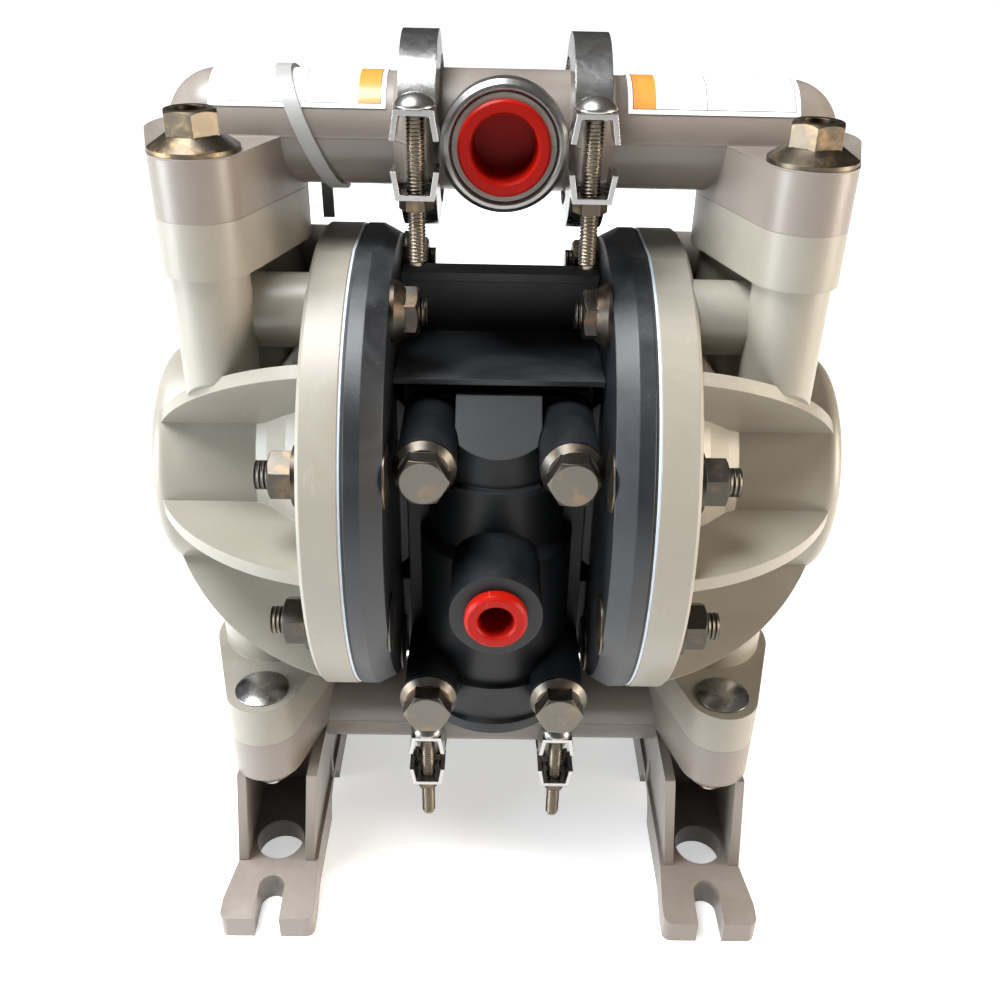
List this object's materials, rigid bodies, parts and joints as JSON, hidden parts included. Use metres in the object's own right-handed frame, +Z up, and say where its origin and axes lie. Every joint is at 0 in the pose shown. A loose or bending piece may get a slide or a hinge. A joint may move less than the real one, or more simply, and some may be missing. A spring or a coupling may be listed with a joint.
{
  "type": "air operated diaphragm pump",
  "caption": "Air operated diaphragm pump: moulded fluid chambers on slotted feet, band-clamped inlet and outlet manifolds with swivelling ports, and a shuttle air valve at the centre.",
  "frame": {"origin": "on the floor, under the middle of the pump", "axes": "+Z up; the fluid chambers lie along X; the air valve and its air inlet face -Y"},
  "size_m": [0.21, 0.15, 0.2905],
  "materials": {
    "polymer_beige": "satin moulded polypropylene, warm light grey-beige",
    "polymer_taupe": "satin moulded polypropylene, taupe",
    "polymer_black": "satin black glass-filled polypropylene",
    "ptfe": "smooth white fluoropolymer",
    "elastomer": "matt black synthetic rubber",
    "polymer_seat": "machined off-white polymer",
    "plate_alloy": "plain die cast",
    "plate_polymer": "moulded over a metal core",
    "bush_metal": "turned bearing bronze",
    "shaft_steel": "ground stainless",
    "fastener_steel": "dull stainless, rolled threads",
    "clamp_steel": "pressed stainless, polished",
    "plug_red": "soft moulded polyethylene, red",
    "tie_nylon": "natural nylon, greyish",
    "muffler_plastic": "moulded black"
  },
  "bodies": {
    "pump": {"air_cap_left": "polymer_black", "air_cap_right": "polymer_black", "air_cap_screws": "fastener_steel", "cable_tie": "tie_nylon", "cap_stud_nuts": "fastener_steel", "cap_studs": "fastener_steel", "centre_body": "polymer_black", "centre_gaskets": "elastomer", "chamber_bolts": "fastener_steel", "chamber_nuts": "fastener_steel", "chamber_washers": "fastener_steel", "clamp_bands": "clamp_steel", "clamp_bolts": "fastener_steel", "clamp_nuts": "fastener_steel", "diaphragm_backup_left": "elastomer", "diaphragm_backup_right": "elastomer", "diaphragm_left": "ptfe", "diaphragm_right": "ptfe", "fluid_cap_left": "polymer_beige", "fluid_cap_right": "polymer_beige", "foot_bolts": "fastener_steel", "foot_left": "polymer_taupe", "foot_nuts": "fastener_steel", "foot_right": "polymer_taupe", "inlet_elbow_left": "polymer_taupe", "inlet_elbow_right": "polymer_taupe", "manifold_stud_nuts": "fastener_steel", "manifold_studs": "fastener_steel", "muffler": "muffler_plastic", "outlet_elbow_left": "polymer_taupe", "outlet_elbow_right": "polymer_taupe", "seat_rings": "elastomer", "shaft_bushes": "bush_metal", "shaft_seals": "elastomer", "tee_seals": "elastomer", "valve_block": "polymer_black", "valve_end_cap": "polymer_black", "valve_gasket": "elastomer", "valve_screws": "fastener_steel", "valve_seats": "polymer_seat", "valve_top_cap": "polymer_black"},
    "shaft_assembly": {"diaphragm_shaft": "shaft_steel", "fluid_side_plate_left": "plate_polymer", "fluid_side_plate_right": "plate_polymer", "air_side_plate_left": "plate_alloy", "air_side_plate_right": "plate_alloy"},
    "pilot_rod": {"pilot_rod": "ptfe"},
    "valve_spool": {"valve_spool": "plate_alloy", "spool_seals": "elastomer"},
    "outlet_ball_left": {"outlet_ball_left": "ptfe"},
    "outlet_ball_right": {"outlet_ball_right": "ptfe"},
    "inlet_ball_left": {"inlet_ball_left": "ptfe"},
    "inlet_ball_right": {"inlet_ball_right": "ptfe"},
    "outlet_tee": {"outlet_tee": "polymer_taupe", "outlet_port_ring": "clamp_steel"},
    "inlet_tee": {"inlet_tee": "polymer_taupe"},
    "outlet_plug": {"outlet_plug": "plug_red"},
    "air_plug": {"air_plug": "plug_red"}
  },
  "joints": [
    {"name": "shaft_slide", "type": "slide", "parent": "pump", "child": "shaft_assembly", "axis": [1, 0, 0], "range_m": [-0.0045, 0.0045], "deforming": ["diaphragm_left", "diaphragm_right", "diaphragm_backup_left", "diaphragm_backup_right"]},
    {"name": "pilot_slide", "type": "slide", "parent": "pump", "child": "pilot_rod", "axis": [1, 0, 0], "range_m": [-0.0015, 0.0015]},
    {"name": "spool_slide", "type": "slide", "parent": "pump", "child": "valve_spool", "axis": [0, 0, 1], "range_m": [-0.003, 0.003]},
    {"name": "outlet_ball_left_lift", "type": "slide", "parent": "pump", "child": "outlet_ball_left", "axis": [0, 0, 1], "range_m": [0, 0.004]},
    {"name": "outlet_ball_right_lift", "type": "slide", "parent": "pump", "child": "outlet_ball_right", "axis": [0, 0, 1], "range_m": [0, 0.004]},
    {"name": "inlet_ball_left_lift", "type": "slide", "parent": "pump", "child": "inlet_ball_left", "axis": [0, 0, 1], "range_m": [0, 0.004]},
    {"name": "inlet_ball_right_lift", "type": "slide", "parent": "pump", "child": "inlet_ball_right", "axis": [0, 0, 1], "range_m": [0, 0.004]},
    {"name": "outlet_swivel", "type": "hinge", "parent": "pump", "child": "outlet_tee", "pos_m": [0, 0, 0.2645], "axis": [1, 0, 0], "range_deg": [-90, 90]},
    {"name": "inlet_swivel", "type": "hinge", "parent": "pump", "child": "inlet_tee", "pos_m": [0, 0, 0.0555], "axis": [1, 0, 0], "range_deg": [-90, 90]},
    {"name": "outlet_plug_pull", "type": "slide", "parent": "outlet_tee", "child": "outlet_plug", "axis": [0, -1, 0], "range_m": [0, 0.016]},
    {"name": "air_plug_pull", "type": "slide", "parent": "pump", "child": "air_plug", "axis": [0, -1, 0], "range_m": [0, 0.014]}
  ],
  "couplings": [
    {"joint": "pilot_slide", "follows": "shaft_slide", "ratio": 0.3}
  ]
}
